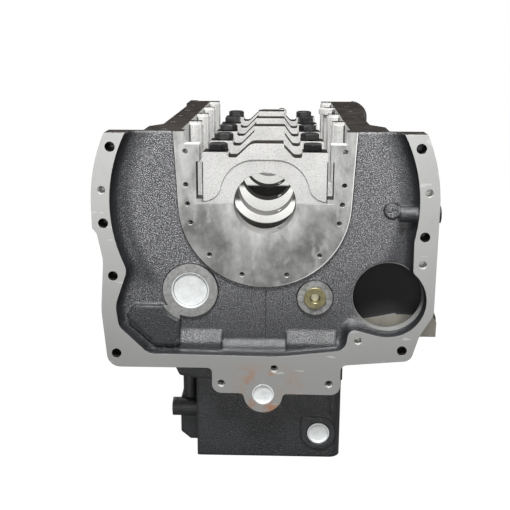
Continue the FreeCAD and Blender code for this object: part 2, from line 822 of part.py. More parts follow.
def cup_plug(radius, depth):
    """A pressed cup plug along +Y with its dished face at the origin."""
    profile = [
        (0, 3.0, 0),
        (radius - cup_wall, 3.0, 0),
        (radius - cup_wall, 0, 0),
        (radius - plug_gap, 0, 0),
        (radius - plug_gap, depth, 0),
        (0, depth, 0),
    ]
    face = outline(profile, lambda u, v: FreeCAD.Vector(u, v, 0))
    return face.revolve(FreeCAD.Vector(0, 0, 0), FreeCAD.Vector(0, 1, 0), 360)


def placed(shape, x, y, z):
    """A copy of the shape moved to its place."""
    moved = shape.copy()
    moved.translate(FreeCAD.Vector(x, y, z))
    return moved


def side_plugs():
    """The core plugs along the right side of the water jacket."""
    plugs = []
    for y in cylinder_ys:
        plug = cup_plug(side_plug_r, cup_depth)
        plug.rotate(FreeCAD.Vector(0, 0, 0), FreeCAD.Vector(0, 0, 1), 90)
        plugs.append(placed(plug, side_right_x - 0.5, y, side_plug_z))
    return Part.makeCompound(plugs)


def hexagon(af, turn):
    """Closed hexagon in the X-Z plane at y = 0, by its width across flats."""
    corner = af / math.sqrt(3)
    angles = [math.radians(60 * i + turn) for i in range(7)]
    points = [FreeCAD.Vector(corner * math.cos(a), 0, corner * math.sin(a)) for a in angles]
    return Part.Face(Part.makePolygon(points))


def gallery_plug(y, facing):
    """A screwed plug with a hexagon socket that closes one end of the oil gallery; facing is -1 at the rear."""
    head = rod_y(gallery_head_r, 0, gallery_head_h, 0, 0)
    end = gallery_head_h + gallery_thread_length
    thread = rod_y(gallery_thread_r - bolt_gap, gallery_head_h, end, 0, 0)
    socket = hexagon(socket_af, 30).extrude(FreeCAD.Vector(0, socket_depth, 0))
    plug = head.fuse(thread).cut(socket)
    if facing > 0:
        plug.rotate(FreeCAD.Vector(0, 0, 0), FreeCAD.Vector(0, 0, 1), 180)
    return placed(plug, gallery_x, y + facing * gallery_head_h, gallery_z)


def port_plug():
    """The flat plug in the side of the flange rim."""
    head = rod_x(port_head_r, flange_r, flange_r + port_head_h, port_y, port_z)
    return head.fuse(rod_x(port_r - bolt_gap, flange_r - 16, flange_r, port_y, port_z))


def drain_plug():
    """The hexagon plug that drains the water jacket."""
    head = hexagon(drain_af, 0).extrude(FreeCAD.Vector(0, drain_head_h, 0))
    head.rotate(FreeCAD.Vector(0, 0, 0), FreeCAD.Vector(0, 0, 1), -90)
    seat_x = side_right_x + drain_collar
    head = placed(head, seat_x, drain_y, drain_z)
    collar = rod_x(drain_af / 2 + 1.5, side_right_x, seat_x, drain_y, drain_z)
    thread = rod_x(drain_r - bolt_gap, side_right_x - drain_thread, side_right_x, drain_y, drain_z)
    return thread.fuse([collar, head])


def export(shape, name):
    """Write one piece to its file."""
    shape.exportStep("parts/" + name + ".step")


def build():
    """Make every piece of the block."""
    export(cylinder_block(), "cylinder_block")
    for i in range(cylinder_count + 1):
        export(main_cap(i), "main_cap_" + str(i + 1))
        export(cam_bush(i), "cam_bush_" + str(i + 1))
    bolts = [cap_bolt(side * bolt_x, y) for y in main_ys for side in (-1, 1)]
    export(Part.makeCompound(bolts), "main_cap_bolts")
    cam_plug_y = first_main_y - bulkhead_width / 2 - cam_plug_gap - cup_depth
    export(placed(cup_plug(cam_bore_r, cup_depth), cam_x, cam_plug_y, cam_z), "cam_bore_plug")
    export(placed(cup_plug(tongue_plug_r, cup_depth), tongue_plug_x, flange_y, tongue_plug_z), "flange_cup_plug")
    pad_y = cylinder_wall_y - plug_pad_h
    export(placed(cup_plug(rear_plug_r, cup_depth), rear_plug_x, pad_y, rear_plug_z), "rear_cup_plug")
    export(side_plugs(), "side_cup_plugs")
    export(gallery_plug(0, -1), "gallery_plug_rear")
    export(gallery_plug(recess_y, 1), "gallery_plug_front")
    export(port_plug(), "port_plug")
    export(drain_plug(), "drain_plug")


build()
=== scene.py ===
"""Looks of an inline engine block that stands on its head deck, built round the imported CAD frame.

Every length is in metres in the frame's own axes: +X right, +Y away from the flywheel end, +Z to the sump.
"""

import json
import math

import bmesh
import bpy
from bpy.props import FloatProperty, FloatVectorProperty, IntProperty, PointerProperty
from mathutils import Matrix, Vector


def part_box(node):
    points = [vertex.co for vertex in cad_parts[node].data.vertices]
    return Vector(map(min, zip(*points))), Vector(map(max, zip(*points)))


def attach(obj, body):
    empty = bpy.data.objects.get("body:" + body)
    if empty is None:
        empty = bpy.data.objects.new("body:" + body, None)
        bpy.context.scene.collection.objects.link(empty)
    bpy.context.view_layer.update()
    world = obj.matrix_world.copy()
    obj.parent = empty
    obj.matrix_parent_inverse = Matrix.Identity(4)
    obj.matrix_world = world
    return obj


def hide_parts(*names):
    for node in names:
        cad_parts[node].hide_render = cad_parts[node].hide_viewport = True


bl_info = {
    "name": "Engine block looks",
    "version": (1, 0, 0),
    "blender": (4, 5, 0),
    "location": "3D View > Sidebar > Engine block",
    "description": "Dresses the packed engine block in cast, painted and machined finishes",
    "category": "Object",
}

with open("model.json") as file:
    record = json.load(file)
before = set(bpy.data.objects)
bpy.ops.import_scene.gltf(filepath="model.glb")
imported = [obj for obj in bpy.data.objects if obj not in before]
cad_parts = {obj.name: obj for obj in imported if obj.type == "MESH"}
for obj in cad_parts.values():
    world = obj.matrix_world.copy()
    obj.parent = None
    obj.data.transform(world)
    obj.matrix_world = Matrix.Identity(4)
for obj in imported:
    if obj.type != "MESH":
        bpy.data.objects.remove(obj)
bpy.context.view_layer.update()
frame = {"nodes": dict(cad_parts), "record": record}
MOUNTS = {m["name"]: m for m in frame["record"]["mounts"]}
BLOCK_LOW, BLOCK_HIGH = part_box("cylinder_block")


def middle(node):
    """The middle of a CAD node's box."""
    low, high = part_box(node)
    return (low + high) / 2


MM = 0.001
FLANGE_Y = BLOCK_LOW.y
FRONT_Y = BLOCK_HIGH.y
SUMP_Z = BLOCK_HIGH.z
DECK_Z = BLOCK_LOW.z
CRANK_R = MOUNTS["crank_bore"]["dims"]["r_mm"] * MM
STARTER = Vector(MOUNTS["starter_opening"]["pos_m"])
STARTER_R = MOUNTS["starter_opening"]["dims"]["r_mm"] * MM
CYLINDER_R = MOUNTS["cylinder_1"]["dims"]["r_mm"] * MM
CYLINDERS = [Vector(MOUNTS[name]["pos_m"]) for name in sorted(MOUNTS) if name.startswith("cylinder_")]
CAM = middle("cam_bore_plug")
GALLERY = middle("gallery_plug_rear")
TONGUE_PLUG = middle("flange_cup_plug")
REAR_PLUG = middle("rear_cup_plug")
CAPS =[n for n in sorted(frame["nodes"]) if n.startswith("main_cap_") and n[-1].isdigit()]
BUSHES = [n for n in sorted(frame["nodes"]) if n.startswith("cam_bush_")]

# Places on the rear face that the finishes follow
CAM_BOSS_R = 0.0376
GALLERY_BOSS_R = 0.0241
BOSS_SLACK = 0.0003
CORE_MARK = Vector((0.1697, 0.003, -0.0087))
CORE_MARK_R = 0.0109
SEAL_R = 0.1155
SEAL_LEAN = math.radians(3.0)
SEAM_X = 0.0035
PLUG_PAD_R = 0.0255
CAM_PLUG_RING_R = 0.0232
STUB_Z = -0.0113

# Holes whose walls have a finish of their own, and how their faces are told apart
THREAD_R = 0.0052
SEAL_HOLE_R = 0.0036
BOLT_HOLE_R = 0.0066
HOLE_CELL = 0.0012
HOLE_FACES = 8
HOLE_ONE_WAY = 0.6

# The cap bolts, as in the solids
BOLT_ACROSS = 0.024
BOLT_HEAD = 0.010
BOLT_SHANK_R = 0.0079
BOLT_FROM_CAP_FRONT = 0.017

# Angles past which an edge stays sharp
COPY_SHARP = math.radians(28)
CLOSED_SHARP = math.radians(30)
TURNED_SHARP = math.radians(32)

# Colours of marks and stains, and of painted shade, highlights and glow
PIT = (0.003, 0.003, 0.004)
STARTER_SHADE = (0.003, 0.003, 0.003)
SEAM_AND_EDGE_SHADE = (0.004, 0.004, 0.005)
STUB_BAND = (0.55, 0.54, 0.50)
STARTER_RIM_HIGHLIGHT = (0.30, 0.29, 0.27)
RUST = (0.36, 0.18, 0.10)
SEAL_CHAMFER_HIGHLIGHT = (0.75, 0.75, 0.73)
SADDLE_SHADE = (0.008, 0.007, 0.006)
SLOT_SHADE = (0.006, 0.006, 0.005)
BAY_SHADE = (0.012, 0.011, 0.010)
BORE_SHADE = (0.010, 0.009, 0.008)
SADDLE_GLOW = (0.50, 0.50, 0.48)
NO_GLOW = (0.0, 0.0, 0.0)
PLUG_RING_SHADE = (0.06, 0.06, 0.06)
SOCKET_FLOOR = (0.95, 0.92, 0.68)


# Shader building

GRAIN_SPREAD = 0.85
MIX_FACTOR, MIX_A, MIX_B, MIX_COLOR = 0, 6, 7, 2
MASK_SOFT = 0.0005

class Socket:
    """Wraps a socket so that shader maths reads as an expression."""

    def __init__(self, tree, socket):
        self.tree = tree
        self.socket = socket

    def math(self, operation, *others):
        values = dict(enumerate((self, *others)))
        return self.tree.node("ShaderNodeMath", {"operation": operation}, values)

    def __add__(self, other):
        return self.math("ADD", other)

    def __radd__(self, other):
        return self.math("ADD", other)

    def __mul__(self, other):
        return self.math("MULTIPLY", other)

    def __rmul__(self, other):
        return self.math("MULTIPLY", other)

    def __sub__(self, other):
        return self.math("SUBTRACT", other)

    def __rsub__(self, other):
        return (self * -1.0) + other

    def __pow__(self, other):
        return self.math("POWER", other)

    def ramp(self, low, high):
        """Runs smoothly from 0 at low to 1 at high."""
        return self.tree.node(
            "ShaderNodeMapRange",
            {"interpolation_type": "SMOOTHSTEP"},
            {"Value": self, "From Min": low, "From Max": high},
        )


class Shader:
    """One material and its node tree."""

    def __init__(self, name):
        self.material = bpy.data.materials.new(name)
        self.material.use_nodes = True
        self.nodes = self.material.node_tree.nodes
        self.links = self.material.node_tree.links
        self.surface = self.nodes["Principled BSDF"]
        self.place = self.node("ShaderNodeTexCoord", {}, {}, "Object")

    def feed(self, slot, value):
        """Links a socket to the slot, or sets a number or colour there."""
        if isinstance(value, Socket):
            self.links.new(value.socket, slot)
        elif slot.type == "RGBA" and len(value) == 3:
            slot.default_value = (*value, 1.0)
        else:
            slot.default_value = value

    def node(self, kind, settings, values, output=0):
        """Adds a node: its settings first, then its sockets' values or links."""
        made = self.nodes.new(kind)
        for key, value in settings.items():
            setattr(made, key, value)
        for key, value in values.items():
            self.feed(made.inputs[key], value)
        return Socket(self, made.outputs[output])

    def noise(self, scale, detail, roughness, place=None):
        values = {"Vector": place or self.place, "Scale": scale, "Detail": detail, "Roughness": roughness}
        return self.node("ShaderNodeTexNoise", {}, values)

    def axes(self):
        """The three Object coordinates."""
        first = self.node("ShaderNodeSeparateXYZ", {}, {0: self.place})
        return [Socket(self, out) for out in first.socket.node.outputs]

    def stretched(self, factors):
        """Object coordinates scaled by axis, for marks that run one way."""
        return self.node("ShaderNodeMapping", {}, {"Vector": self.place, "Scale": factors})

    def mix(self, factor, a, b):
        """Colour a where the factor is 0, and b where it is 1."""
        values = {MIX_FACTOR: factor, MIX_A: a, MIX_B: b}
        return self.node("ShaderNodeMix", {"data_type": "RGBA"}, values, MIX_COLOR)

    def bump(self, height, distance, strength, under=None):
        values = {"Height": height, "Distance": distance, "Strength": strength}
        if under:
            values["Normal"] = under
        return self.node("ShaderNodeBump", {}, values)

    def soft_edge(self, radius, samples=4):
        """The normal as if every edge had a small round."""
        return self.node("ShaderNodeBevel", {"samples": samples}, {"Radius": radius})

    def finish(self, color, roughness, metallic, normal, **fixed):
        """Feeds the surface, with a constant for each further input named."""
        values = {"Base Color": color, "Roughness": roughness, "Metallic": metallic, "Normal": normal}
        values.update((key.replace("_", " "), value) for key, value in fixed.items())
        for key, value in values.items():
            self.feed(self.surface.inputs[key], value)
        return self.material


def scaled(color, factor):
    """A colour made lighter or darker."""
    return tuple(min(1.0, v * factor) for v in color)


def from_crank(x, z):
    """Distance from the crank's line."""
    return (x * x + z * z) ** 0.5


def circle_edge(x, z, centre, radius):
    """Distance outwards from a circle about an axis along Y."""
    return ((x - centre.x) ** 2.0 + (z - centre.z) ** 2.0) ** 0.5 - radius


def seal_edge(x, z):
    """Distance outwards from the outline of the seal face: an arc below, two tangents above."""
    arc = from_crank(x, z) - SEAL_R
    side = x.math("ABSOLUTE") * math.cos(SEAL_LEAN) - z * math.sin(SEAL_LEAN) - SEAL_R
    above = z.ramp(-0.0065, -0.0055)
    return arc + (side - arc) * above


def pad_edge(x, z):
    """Distance outwards from the pad of the rear cup plug: round, with one square corner."""
    beside, above = x - REAR_PLUG.x, z - REAR_PLUG.z
    square = beside.math("ABSOLUTE").math("MAXIMUM", above.math("ABSOLUTE")) - PLUG_PAD_R
    circle = circle_edge(x, z, REAR_PLUG, PLUG_PAD_R)
    corner = beside.ramp(MASK_SOFT, -MASK_SOFT) * above.ramp(-MASK_SOFT, MASK_SOFT)
    return circle + (square - circle) * corner


def outline_mask(distance):
    """One in a thin line along an edge."""
    return distance.math("ABSOLUTE").ramp(0.0018, 0.0009)


def rear_edge_shade(x, y, z, on_floor):
    """Painted shade: one in a thin dark line along the edges of the seal face, the bosses and the pad."""
    lines = outline_mask(seal_edge(x, z)) * on_floor
    for centre, radius in ((CAM, CAM_BOSS_R), (GALLERY, GALLERY_BOSS_R), (CORE_MARK, CORE_MARK_R)):
        lines = lines.math("MAXIMUM", outline_mask(circle_edge(x, z, centre, radius)) * on_floor)
    on_pad = (1.0 - y.ramp(0.0205, 0.0215)) * y.ramp(0.0175, 0.0180)
    return lines.math("MAXIMUM", outline_mask(pad_edge(x, z)) * 0.8 * on_pad)


# Settings


class CastFinish(bpy.types.PropertyGroup):
    """Sizes and colours of the casting's finishes."""

    paint: FloatVectorProperty(
        name="Paint", description="Colour of the black paint",
        subtype="COLOR", default=(0.013, 0.014, 0.016), min=0, max=1,
    )
    # Painted light: the paint's lighter tone where light is painted high on the rear face
    painted_light_tone: FloatVectorProperty(
        name="Lit paint", description="Colour of the paint high on the rear face",
        subtype="COLOR", default=(0.062, 0.063, 0.067), min=0, max=1,
    )
    # Painted glints on the grain tops
    grain_glint: FloatVectorProperty(
        name="Grain tops", description="Colour of the grain that catches the light",
        subtype="COLOR", default=(0.52, 0.52, 0.54), min=0, max=1,
    )
    iron: FloatVectorProperty(
        name="Machined iron", description="Colour of freshly cut iron",
        subtype="COLOR", default=(0.47, 0.475, 0.462), min=0, max=1,
    )
    raw_iron: FloatVectorProperty(
        name="Raw iron", description="Colour of the unpainted casting inside",
        subtype="COLOR", default=(0.56, 0.557, 0.545), min=0, max=1,
    )
    grain: FloatProperty(
        name="Grain", description="Size of one grain of the cast skin",
        subtype="DISTANCE", default=0.0011, min=0.0002, max=0.01,
    )
    edge: FloatProperty(
        name="Edge", description="Radius of the worn edges",
        subtype="DISTANCE", default=0.0012, min=0.0, max=0.01,
    )


class FastenerFinish(bpy.types.PropertyGroup):
    """Sizes of the bolts and plugs."""

    head_chamfer: FloatProperty(
        name="Head chamfer", description="Height of the chamfer on a bolt head",
        subtype="DISTANCE", default=0.0014, min=0.0, max=0.004,
    )
    cup_round: FloatProperty(
        name="Cup rounding", description="Radius inside a cup plug's rim",
        subtype="DISTANCE", default=0.0012, min=0.0002, max=0.003,
    )
    segments: IntProperty(
        name="Segments", description="Faces round a turned piece", default=72, min=12, max=256
    )


class StageSettings(bpy.types.PropertyGroup):
    """The studio round the block."""

    lens: FloatProperty(
        name="Lens", description="Focal length on a 36 mm sensor, in millimetres",
        default=59.39, min=10, max=300,
    )
    key: FloatProperty(
        name="Key light", description="Power of the light before the block",
        subtype="POWER", default=62.0, min=0,
    )
    fill: FloatProperty(
        name="Fill light", description="Strength of the surrounding light", default=0.06, min=0,
    )


# Materials


def painted_iron():
    """Black paint over the grainy skin of a sand casting."""
    cast = bpy.context.scene.cast_finish
    s = Shader("painted_cast_iron")
    grain = s.noise(GRAIN_SPREAD / cast.grain, 1.0, 0.5)
    lumps = s.noise(90.0, 4.0, 0.6)
    broad = s.noise(9.0, 3.0, 0.5)
    x, y, z = s.axes()
    on_floor = (1.0 - y.ramp(0.0055, 0.0065)) * y.ramp(-0.0015, -0.0005)
    # Painted light and shade: the paint lighter high on the rear face, darker up the pocket's side walls and
    # fillets and away from its floor
    high = z.ramp(-0.24, -0.03) * (1.0 - y.ramp(0.0055, 0.012) * 0.9) * (0.05 + y.ramp(0.0, 0.0048) * 0.95)
    high = high * (1.0 - from_crank(x, z).ramp(0.170, 0.190) * z.ramp(-0.13, -0.10) * 0.9)
    tone = s.mix(broad.ramp(0.35, 0.7), cast.paint, scaled(cast.paint, 1.4))
    tone = s.mix(high, tone, cast.painted_light_tone)
    # Painted glints on the grain tops, stronger where the light is painted high
    tone = s.mix(grain.ramp(0.50, 0.66) * (0.03 + high * 0.62), tone, cast.grain_glint)
    tone = s.mix(grain.ramp(0.47, 0.38) * 0.8, tone, PIT)
    # Shade behind the starter opening, which takes in the outer wall beside it too
    behind_starter = x.ramp(0.085, 0.100) * z.ramp(-0.21, -0.20)
    behind_starter = behind_starter * y.ramp(0.016, 0.020) * (1.0 - y.ramp(0.152, 0.170))
    tone = s.mix(behind_starter * 0.9, tone, STARTER_SHADE)
    seam = (x - SEAM_X + s.noise(60.0, 3.0, 0.6) * 0.003).math("ABSOLUTE").ramp(0.0011, 0.0005)
    seam = seam * z.ramp(-0.1215, -0.1225) * z.ramp(-0.205, -0.200) * on_floor
    # The casting seam, and painted shade along the edges of the raised faces
    tone = s.mix(rear_edge_shade(x, y, z, on_floor).math("MAXIMUM", seam * 0.85), tone, SEAM_AND_EDGE_SHADE)
    band = x.ramp(0.2030, 0.2034) * (1.0 - x.ramp(0.2074, 0.2078)) * (1.0 - y.ramp(-0.0005, 0.0))
    band = band * (1.0 - (z - STUB_Z).math("ABSOLUTE").ramp(0.0110, 0.0114))
    tone = s.mix(band, tone, STUB_BAND)
    # The starter opening's rim, with a painted highlight stronger to the right
    from_rim = circle_edge(x, z, STARTER, STARTER_R)
    rim = from_rim.ramp(-0.0004, 0.0) * from_rim.ramp(0.0016, 0.0010) * on_floor
    tone = s.mix(rim * (0.35 + x.ramp(0.15, 0.19) * 0.4), tone, STARTER_RIM_HIGHLIGHT)
    rough = 0.32 + grain * 0.10 + behind_starter * 0.5
    normal = s.bump(grain + lumps * 0.4, 0.0010, 0.9, s.soft_edge(cast.edge * 5.0, 6))
    return s.finish(tone, rough, 0.0, normal, Specular_IOR_Level=0.9)


def machined_iron():
    """A milled iron face with fine feed marks and faint stains."""
    cast = bpy.context.scene.cast_finish
    s = Shader("machined_iron")
    fine = s.noise(60.0, 6.0, 0.7, s.stretched((1.0, 1.0, 14.0)))
    stain = s.noise(26.0, 5.0, 0.65)
    cloud = s.noise(7.0, 3.0, 0.5)
    line = s.noise(46.0, 3.0, 0.5, s.stretched((0.35, 1.0, 2.6))).ramp(0.665, 0.675)
    mottle = s.noise(150.0, 4.0, 0.65).ramp(0.40, 0.62)
    x, y, z = s.axes()
    tone = s.mix(cloud.ramp(0.35, 0.7), cast.iron, scaled(cast.iron, 0.88))
    # Painted shade: the cut iron darker towards the bottom
    tone = s.mix(z.ramp(0.06, -0.26) * 0.8, tone, scaled(cast.iron, 0.52))
    tone = s.mix(stain.ramp(0.58, 0.72) * 0.25, tone, scaled(cast.iron, 0.6))
    tone = s.mix(line * 0.35, tone, scaled(cast.iron, 1.5))
    on_bosses = y.ramp(-0.001, -0.0005) * (1.0 - y.ramp(0.0005, 0.001)) * (0.45 + x.ramp(0.0, 0.01) * 0.3)
    tone = s.mix(on_bosses * (0.35 + mottle * 0.7), tone, scaled(cast.iron, 0.22))
    from_plug = circle_edge(x, z, TONGUE_PLUG, 0.0)
    near_plug = from_plug.ramp(0.075, 0.030) * 0.75 + from_plug.ramp(0.036, 0.024) * 0.5
    on_tongue = z.ramp(-0.205, -0.24) * (1.0 - y.ramp(0.0, 0.01))
    rust = s.noise(38.0, 6.0, 0.75).ramp(0.44, 0.60) * near_plug * on_tongue
    tone = s.mix(rust * 0.7, tone, RUST)
    normal = s.bump(fine, 0.0002, 0.5, s.soft_edge(cast.edge * 0.6))
    return s.finish(tone, 0.42 + fine * 0.20, 0.35, normal)


def seal_iron():
    """The ground face round the crank, stained by old oil, with a painted reflection near the crank and a
    painted highlight on its chamfer.
    """
    cast = bpy.context.scene.cast_finish
    s = Shader("seal_face_iron")
    blotch = s.noise(20.0, 7.0, 0.68)
    runs = s.noise(34.0, 5.0, 0.62, s.stretched((1.5, 1.0, 0.7)))
    fine = s.noise(420.0, 3.0, 0.6)
    x, _, z = s.axes()
    radius = from_crank(x, z)
    tone = s.mix(blotch.ramp(0.36, 0.64), scaled(cast.iron, 0.28), scaled(cast.iron, 0.62))
    tone = s.mix(runs.ramp(0.52, 0.68) * 0.5, tone, cast.iron)
    # Painted reflection: lighter near the crank and above the cap joint, broken up by the oil runs
    beside_cap = z.ramp(-0.016, 0.004)
    near = (1.0 - radius.ramp(0.046, 0.075)).math("MAXIMUM", beside_cap * 0.8)
    tone = s.mix(near * 0.55 * runs.ramp(0.25, 0.6), tone, scaled(cast.iron, 1.35))
    joint = z.math("ABSOLUTE").ramp(0.0009, 0.0004)
    joint = joint * radius.ramp(0.0555, 0.0560) * (1.0 - radius.ramp(0.088, 0.094))
    tone = s.mix(joint * 0.5, tone, scaled(cast.iron, 1.7))
    # Painted highlight on the face's chamfer, stronger to the right
    rim = seal_edge(x, z).ramp(-0.0016, -0.0010) * (0.05 + x.ramp(0.0, 0.08) * 0.75)
    tone = s.mix(rim, tone, SEAL_CHAMFER_HIGHLIGHT)
    return s.finish(tone, 0.34 + blotch * 0.25, 0.35, s.bump(fine + blotch, 0.0003, 0.4))


def raw_iron():
    """Unpainted cast iron, light and finely grained."""
    cast = bpy.context.scene.cast_finish
    s = Shader("raw_cast_iron")
    grain = s.noise(GRAIN_SPREAD / cast.grain, 3.0, 0.6)
    cloud = s.noise(18.0, 4.0, 0.6)
    x, y, z = s.axes()
    radius = from_crank(x, z)
    tone = s.mix(cloud.ramp(0.4, 0.7), cast.raw_iron, scaled(cast.raw_iron, 0.84))
    tone = s.mix(grain.ramp(0.52, 0.66) * 0.7, tone, scaled(cast.raw_iron, 0.3))
    dark_saddle = y.ramp(0.345, 0.350) * (1.0 - y.ramp(0.358, 0.362)) * z.ramp(-0.036, -0.040)
    tone = s.mix(dark_saddle, tone, SADDLE_SHADE)
    beside = x.math("ABSOLUTE").ramp(0.0812, 0.0816) * (1.0 - y.ramp(0.0290, 0.0300))
    slot = beside * z.ramp(0.056, 0.055) * z.ramp(0.002, 0.003)
    tone = s.mix(slot * 0.92, tone, SLOT_SHADE)
    inside = y.ramp(0.10, 0.11)
    # Painted shade on the faces seen behind the bore: round the second saddle and high in the bays
    second = inside * (1.0 - y.ramp(0.13, 0.14)) * radius.ramp(0.0520, 0.0532) * z.ramp(0.0, -0.010)
    upper = inside * (1.0 - y.ramp(0.36, 0.37)) * z.ramp(-0.022, -0.015) * (1.0 - z.ramp(0.020, 0.030))
    painted_bay_shade = second.math("MAXIMUM", upper) * (1.0 - radius.ramp(0.070, 0.075))
    tone = s.mix(painted_bay_shade * 0.92, tone, BAY_SHADE)
    # Light on the rear faces of the saddles, seen through the bore
    below_bore = z.ramp(-0.015, -0.024) * (1.0 - radius.ramp(0.060, 0.066)) * inside
    glow = s.mix(below_bore * (1.0 - dark_saddle) * (1.0 - painted_bay_shade), NO_GLOW, SADDLE_GLOW)
    rough = 0.55 + grain * 0.15
    normal = s.bump(grain + cloud * 0.5, 0.0009, 0.7, s.soft_edge(cast.edge))
    return s.finish(tone, rough, 0.1, normal, Emission_Color=glow, Emission_Strength=1.0)


def sump_iron():
    """The sump rail: cut iron under a brown film of preserving oil."""
    s = Shader("sump_rail_iron")
    film = s.noise(40.0, 5.0, 0.65)
    tone = s.mix(film.ramp(0.4, 0.65), (0.010, 0.008, 0.007), (0.026, 0.021, 0.018))
    return s.finish(tone, 0.62 + film * 0.2, 0.0, s.bump(film, 0.0002, 0.3), Specular_IOR_Level=0.12)


def bored_iron():
    """A honed bore: bright, with fine rings round it."""
    s = Shader("bored_iron")
    rings = s.noise(240.0, 4.0, 0.6, s.stretched((0.2, 6.0, 0.2)))
    cloud = s.noise(20.0, 4.0, 0.6)
    x, y, z = s.axes()
    bright = s.mix(cloud.ramp(0.4, 0.7), (0.80, 0.795, 0.78), (0.66, 0.655, 0.64))
    # Painted shade: the crank bore darker than the cylinder walls
    crank_bore_shade = s.mix(cloud.ramp(0.45, 0.62), (0.07, 0.069, 0.066), (0.19, 0.188, 0.18))
    in_crank_bore = 1.0 - from_crank(x, z).ramp(0.0425, 0.0435)
    tone = s.mix(in_crank_bore * 0.85, bright, crank_bore_shade)
    shade = y.ramp(0.21, 0.22) * (1.0 - y.ramp(0.40, 0.41)) * in_crank_bore
    tone = s.mix(shade * 0.97, tone, BORE_SHADE)
    rough = 0.22 + rings * 0.18 + in_crank_bore * 0.45
    return s.finish(tone, rough, 0.6 - in_crank_bore * 0.6, s.bump(rings, 0.00015, 0.5))


def starter_pad_iron():
    """The beige machined pad behind the starter opening."""
    s = Shader("starter_pad_iron")
    cloud = s.noise(30.0, 5.0, 0.6, s.stretched((1.0, 1.0, 0.5)))
    tone = s.mix(cloud.ramp(0.4, 0.65), (0.29, 0.275, 0.235), (0.22, 0.21, 0.18))
    return s.finish(tone, 0.42 + cloud * 0.2, 0.35, s.bump(cloud, 0.0003, 0.3))


def hole_wall(name, dark, light, metallic):
    """The turned wall of a hole."""
    s = Shader(name)
    turns = s.noise(300.0, 2.0, 0.5, s.stretched((0.3, 5.0, 0.3)))
    return s.finish(s.mix(turns, dark, light), 0.45 + turns * 0.2, metallic, s.bump(turns, 0.0003, 0.7))


def black_oxide():
    """Bolts in oiled black oxide."""
    s = Shader("black_oxide_steel")
    fine = s.noise(700.0, 4.0, 0.6)
    cloud = s.noise(60.0, 4.0, 0.6)
    tone = s.mix(cloud.ramp(0.45, 0.7), (0.022, 0.022, 0.023), (0.065, 0.064, 0.062))
    return s.finish(tone, 0.28 + cloud * 0.2, 0.4, s.bump(fine, 0.0001, 0.6, s.soft_edge(0.0012)))


def zinc_steel():
    """Pressed steel in pale zinc."""
    s = Shader("zinc_plated_steel")
    cloud = s.noise(90.0, 5.0, 0.65)
    fine = s.noise(900.0, 3.0, 0.6)
    tone = s.mix(cloud.ramp(0.35, 0.75), (0.78, 0.80, 0.80), (0.62, 0.635, 0.63))
    x, y, z = s.axes()
    # Painted shade: a thin dark ring at the edge of the cam plug's dish
    ring = circle_edge(x, z, CAM, CAM_PLUG_RING_R).math("ABSOLUTE").ramp(0.0007, 0.0003)
    tone = s.mix(ring * (1.0 - y.ramp(0.004, 0.005)) * 0.7, tone, PLUG_RING_SHADE)
    return s.finish(tone, 0.34 + cloud * 0.16, 0.3, s.bump(fine + cloud, 0.00012, 0.5, s.soft_edge(0.0006)))


def olive_steel():
    """Steel in olive yellow passivation."""
    s = Shader("olive_passivated_steel")
    cloud = s.noise(110.0, 4.0, 0.6)
    tone = s.mix(cloud.ramp(0.35, 0.7), (0.27, 0.24, 0.13), (0.17, 0.15, 0.08))
    x, _, z = s.axes()
    in_socket = 1.0 - circle_edge(x, z, GALLERY, 0.0).ramp(0.0042, 0.0062)
    tone = s.mix(in_socket * 0.9, tone, SOCKET_FLOOR)
    return s.finish(tone, 0.30 + cloud * 0.2, 0.5, s.bump(cloud, 0.00015, 0.4, s.soft_edge(0.0005)))


def bearing_metal():
    """The bored surface of a camshaft bush."""
    s = Shader("bearing_metal")
    rings = s.noise(200.0, 4.0, 0.6, s.stretched((0.2, 5.0, 0.2)))
    tone = s.mix(rings, (0.52, 0.42, 0.26), (0.42, 0.34, 0.22))
    return s.finish(tone, 0.3 + rings * 0.15, 0.85, s.bump(rings, 0.0001, 0.5))


# Mesh building


def finished(mesh, name, slot, *nodes):
    """Makes an object of a mesh, rides it on the block and lets it stand for CAD nodes."""
    piece = bpy.data.objects.new(name, mesh)
    bpy.context.scene.collection.objects.link(piece)
    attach(piece, "root")
    if nodes:
        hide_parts(*nodes)
    return piece


def merged(node):
    """The CAD node's mesh as joined faces, in a bmesh."""
    shape = bmesh.new()
    shape.from_mesh(frame["nodes"][node].data)
    bmesh.ops.remove_doubles(shape, verts=shape.verts, dist=1e-6)
    return shape


def hole_faces(shape, radius):
    """The faces that line round holes of one radius along Y: together they point at one axis."""
    found = {}
    for face in shape.faces:
        if abs(face.normal.y) < 0.05:
            axis = face.calc_center_median() + face.normal * radius
            found.setdefault((round(axis.x / HOLE_CELL), round(axis.z / HOLE_CELL)), []).append(face)
    walls = []
    for faces in found.values():
        one_way = sum((face.normal for face in faces), Vector()).length / len(faces)
        if len(faces) >= HOLE_FACES and one_way < HOLE_ONE_WAY:
            walls += faces
    return walls


def smooth_copy(node, name, slot, finishes, rule, holes=()):
    """A joined copy of a CAD node, shaded smooth between sharp edges, with one finish per region."""
    shape = merged(node)
    for face in shape.faces:
        face.material_index = rule(face.calc_center_median(), face.normal)
        face.smooth = True
    for radius, index in holes:
        for face in hole_faces(shape, radius):
            face.material_index = index
    mesh = bpy.data.meshes.new(name)
    shape.to_mesh(mesh)
    shape.free()
    carried = mesh.attributes.get("custom_normal")
    if carried:
        mesh.attributes.remove(carried)
    for finish in finishes:
        mesh.materials.append(finish)
    mesh.set_sharp_from_angle(angle=COPY_SHARP)
    piece = finished(mesh, name, slot, node)
    even = piece.modifiers.new("even_normals", "WEIGHTED_NORMAL")
    even.weight = 100
    even.keep_sharp = True
    return piece


